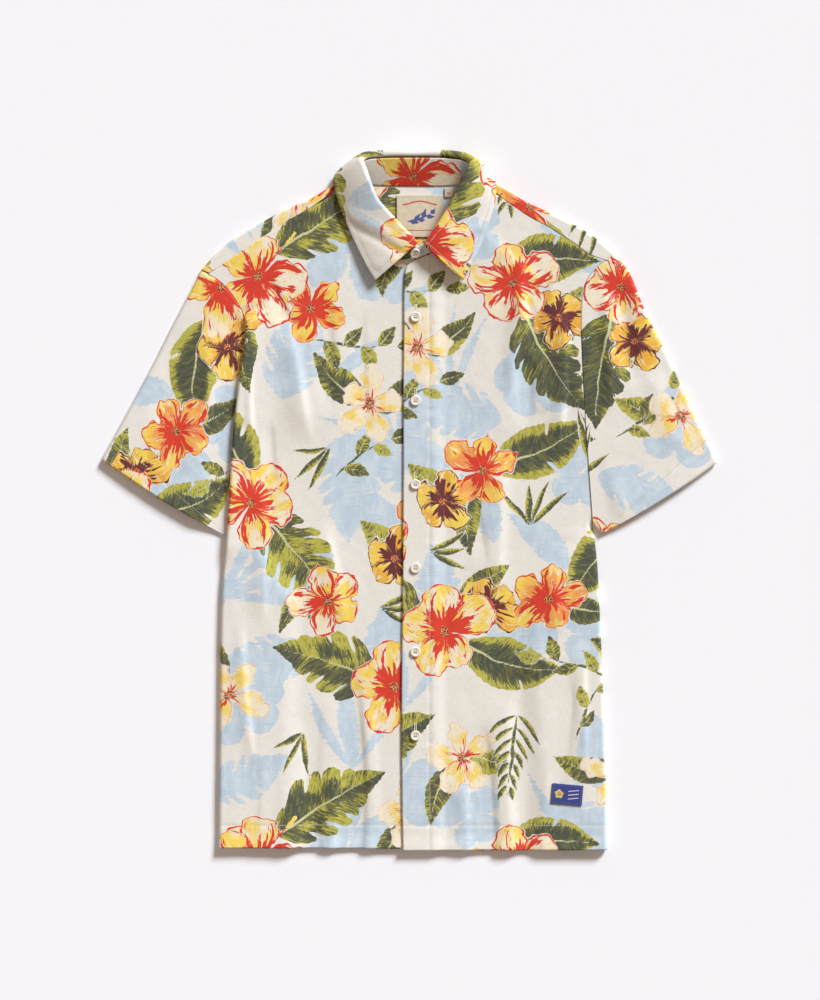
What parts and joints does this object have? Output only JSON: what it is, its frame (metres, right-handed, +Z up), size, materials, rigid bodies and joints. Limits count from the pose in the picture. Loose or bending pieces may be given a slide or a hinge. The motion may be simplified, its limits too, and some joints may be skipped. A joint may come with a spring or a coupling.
{
  "type": "short-sleeved shirt",
  "caption": "Short-sleeved printed button-front shirt laid flat, face up, collar turned down and buttons fastened.",
  "frame": {"origin": "on the surface the shirt lies on, under the middle of its outline", "axes": "+Y from the hem to the collar, +X to the wearer's left, +Z up out of the front"},
  "size_m": [0.677, 0.7701, 0.0241],
  "materials": {
    "printed_rayon": "matt, soft drape, floral print",
    "cream_button": "soft shine",
    "cream_label": "smooth woven",
    "blue_patch": "woven"
  },
  "bodies": {
    "root": {"back": "printed_rayon", "yoke": "printed_rayon", "front_left": "printed_rayon", "front_right": "printed_rayon", "sleeve_left": "printed_rayon", "sleeve_right": "printed_rayon", "collar_stand": "printed_rayon", "collar": "printed_rayon", "neck_label": "cream_label", "size_tab_1": "cream_label", "size_tab_2": "cream_label", "hem_patch": "blue_patch", "button_1": "cream_button", "button_2": "cream_button", "button_3": "cream_button", "button_4": "cream_button", "button_5": "cream_button", "button_6": "cream_button", "button_collar": "cream_button"}
  },
  "joints": []
}
